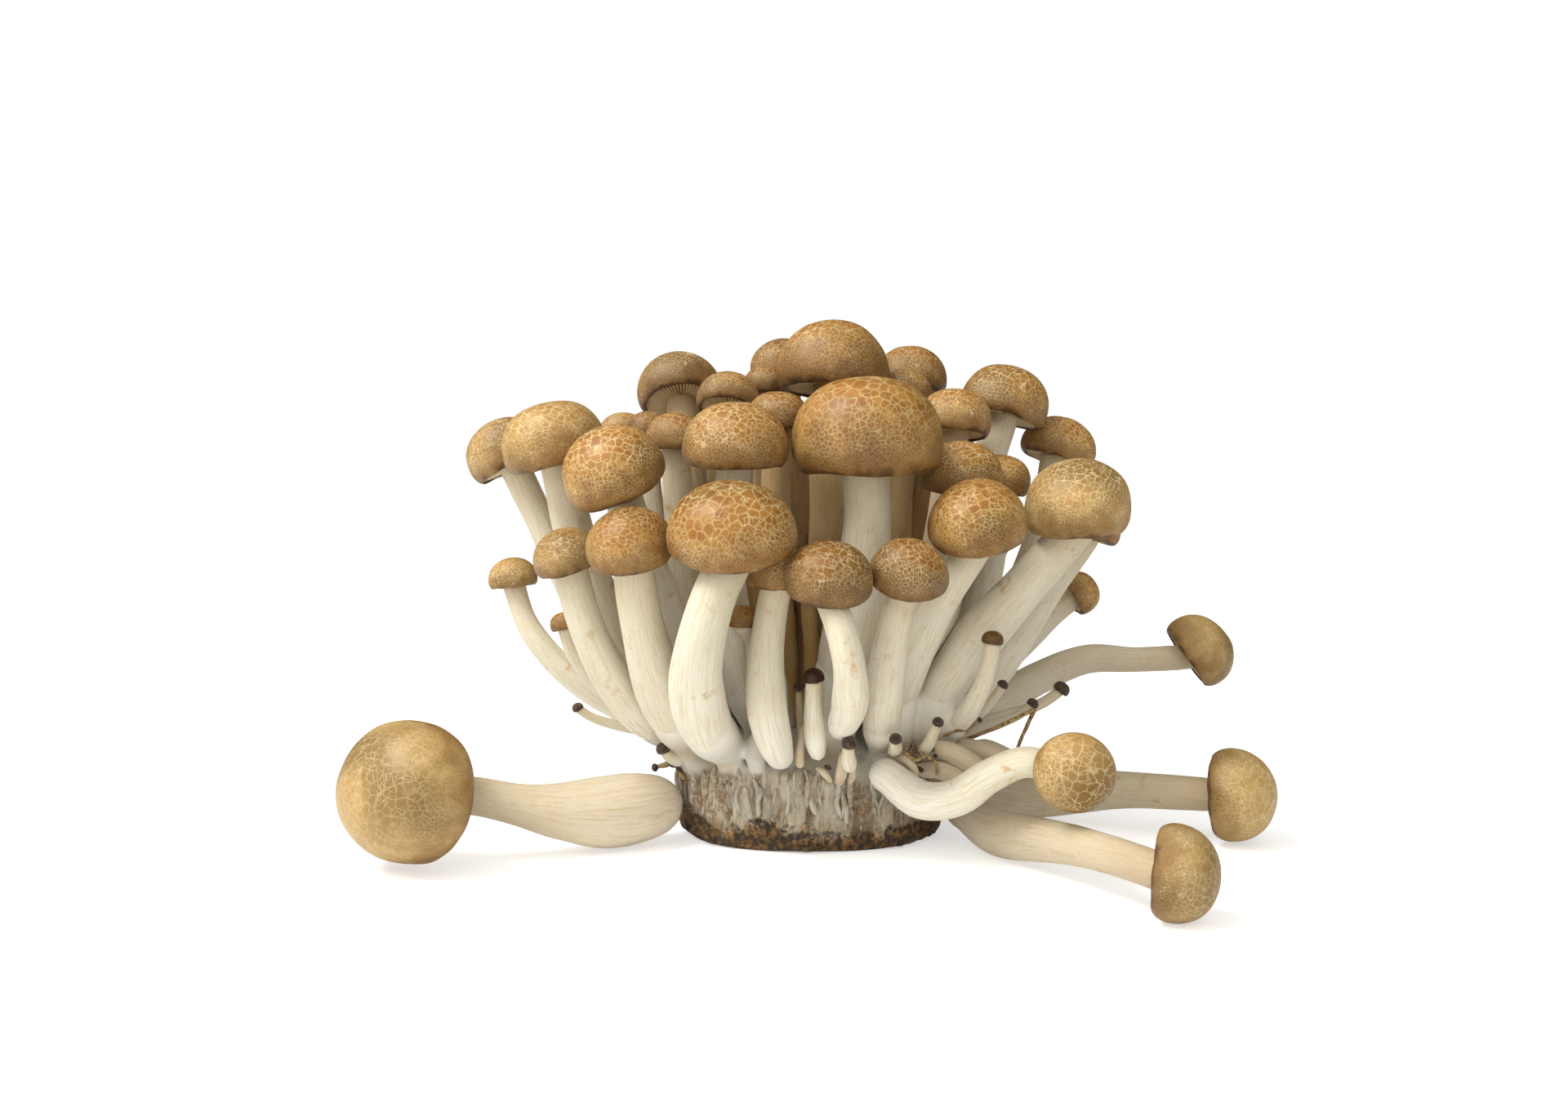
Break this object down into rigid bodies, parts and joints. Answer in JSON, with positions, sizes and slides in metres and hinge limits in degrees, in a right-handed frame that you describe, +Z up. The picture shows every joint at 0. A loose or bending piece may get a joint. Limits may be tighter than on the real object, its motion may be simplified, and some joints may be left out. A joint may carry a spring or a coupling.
{
  "type": "beech mushroom cluster",
  "caption": "Cluster of brown beech mushrooms fanning out from one block of mycelium, with domed, marbled caps and pale stems, some lying out sideways on the surface.",
  "frame": {"origin": "centre of the block's flat underside, on the surface that the cluster stands on", "axes": "+Z up out of the block, -Y towards the front, +X to the right as seen from the front"},
  "size_m": [0.2, 0.145, 0.1144],
  "materials": {
    "cap_skin": "matte skin, marbled with a fine pale web",
    "gills": "matte",
    "stem": "satin, finely fibrous",
    "pin_cap": "matte",
    "root_block": "matte, stranded, with a brown crust",
    "debris": "matte"
  },
  "bodies": {
    "root": {"back_mushroom_1": "cap_skin", "back_mushroom_2": "cap_skin", "back_mushroom_3": "cap_skin", "back_mushroom_4": "cap_skin", "back_mushroom_5": "cap_skin", "back_mushroom_6": "cap_skin", "back_mushroom_7": "cap_skin", "back_mushroom_8": "cap_skin", "back_mushroom_9": "cap_skin", "base_block": "root_block", "crown_mushroom_1": "cap_skin", "crown_mushroom_10": "cap_skin", "crown_mushroom_2": "cap_skin", "crown_mushroom_3": "cap_skin", "crown_mushroom_4": "cap_skin", "crown_mushroom_5": "cap_skin", "crown_mushroom_6": "cap_skin", "crown_mushroom_7": "cap_skin", "crown_mushroom_8": "cap_skin", "crown_mushroom_9": "cap_skin", "front_mushroom_1": "cap_skin", "front_mushroom_10": "cap_skin", "front_mushroom_2": "cap_skin", "front_mushroom_3": "cap_skin", "front_mushroom_4": "cap_skin", "front_mushroom_5": "cap_skin", "front_mushroom_6": "cap_skin", "front_mushroom_7": "cap_skin", "front_mushroom_8": "cap_skin", "front_mushroom_9": "cap_skin", "leaning_mushroom_1": "cap_skin", "leaning_mushroom_2": "cap_skin", "leaning_mushroom_3": "cap_skin", "leaning_mushroom_4": "cap_skin", "leaning_mushroom_5": "cap_skin", "left_mushroom_1": "cap_skin", "left_mushroom_2": "cap_skin", "left_mushroom_3": "cap_skin", "left_mushroom_4": "cap_skin", "left_mushroom_5": "cap_skin", "pin_1": "pin_cap", "pin_2": "pin_cap", "pin_3": "pin_cap", "pin_4": "pin_cap", "pin_5": "pin_cap", "pin_6": "pin_cap", "pin_7": "pin_cap", "pin_8": "pin_cap", "right_mushroom_1": "cap_skin", "right_mushroom_2": "cap_skin", "right_mushroom_3": "cap_skin", "right_mushroom_4": "cap_skin", "right_mushroom_5": "cap_skin", "right_mushroom_6": "cap_skin", "right_mushroom_7": "cap_skin", "small_mushroom_1": "cap_skin", "small_mushroom_2": "cap_skin", "small_mushroom_3": "cap_skin", "small_mushroom_4": "cap_skin"}
  },
  "joints": []
}
